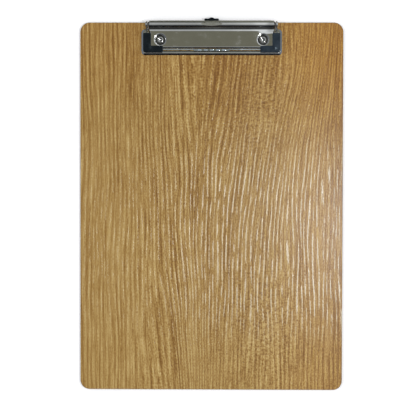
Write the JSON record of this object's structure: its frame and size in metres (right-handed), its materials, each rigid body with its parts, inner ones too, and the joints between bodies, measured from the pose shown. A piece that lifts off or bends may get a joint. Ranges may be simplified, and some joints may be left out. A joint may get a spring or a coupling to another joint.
{
  "type": "clipboard",
  "caption": "A4 clipboard: woodgrain laminated fibreboard panel with a low-profile chrome spring clip, black corner grips and a pull-out hanging tab.",
  "frame": {"origin": "centre of the board's flat back face", "axes": "+Z out of the writing face, +Y along the board towards the clip, +X to the right when reading"},
  "size_m": [0.225, 0.3191, 0.0097],
  "materials": {
    "woodgrain": "satin",
    "fibreboard": "matt",
    "chrome": "polished",
    "zinc": "satin",
    "spring_steel": "satin",
    "black_plastic": "semi-gloss"
  },
  "bodies": {
    "board": {"board_core": "fibreboard", "front_laminate": "woodgrain", "back_laminate": "woodgrain", "base_plate": "zinc", "cover_plate": "chrome", "left_rivet": "chrome", "right_rivet": "chrome", "axle_pin": "zinc", "left_spring": "spring_steel", "right_spring": "spring_steel"},
    "jaw": {"jaw_frame": "chrome", "left_grip": "black_plastic", "right_grip": "black_plastic"},
    "hanger": {"hanger_tab": "black_plastic"}
  },
  "joints": [
    {"name": "jaw_hinge", "type": "hinge", "parent": "board", "child": "jaw", "pos_m": [0, 0.1554, 0.0066], "axis": [-1, 0, 0], "range_deg": [0, 65], "stiffness_Nm_per_rad": 0.225, "springref_deg": -89.95, "deforming": ["left_spring", "right_spring"]},
    {"name": "hanger_slide", "type": "slide", "parent": "board", "child": "hanger", "axis": [0, 1, 0], "range_m": [0, 0.012]}
  ]
}
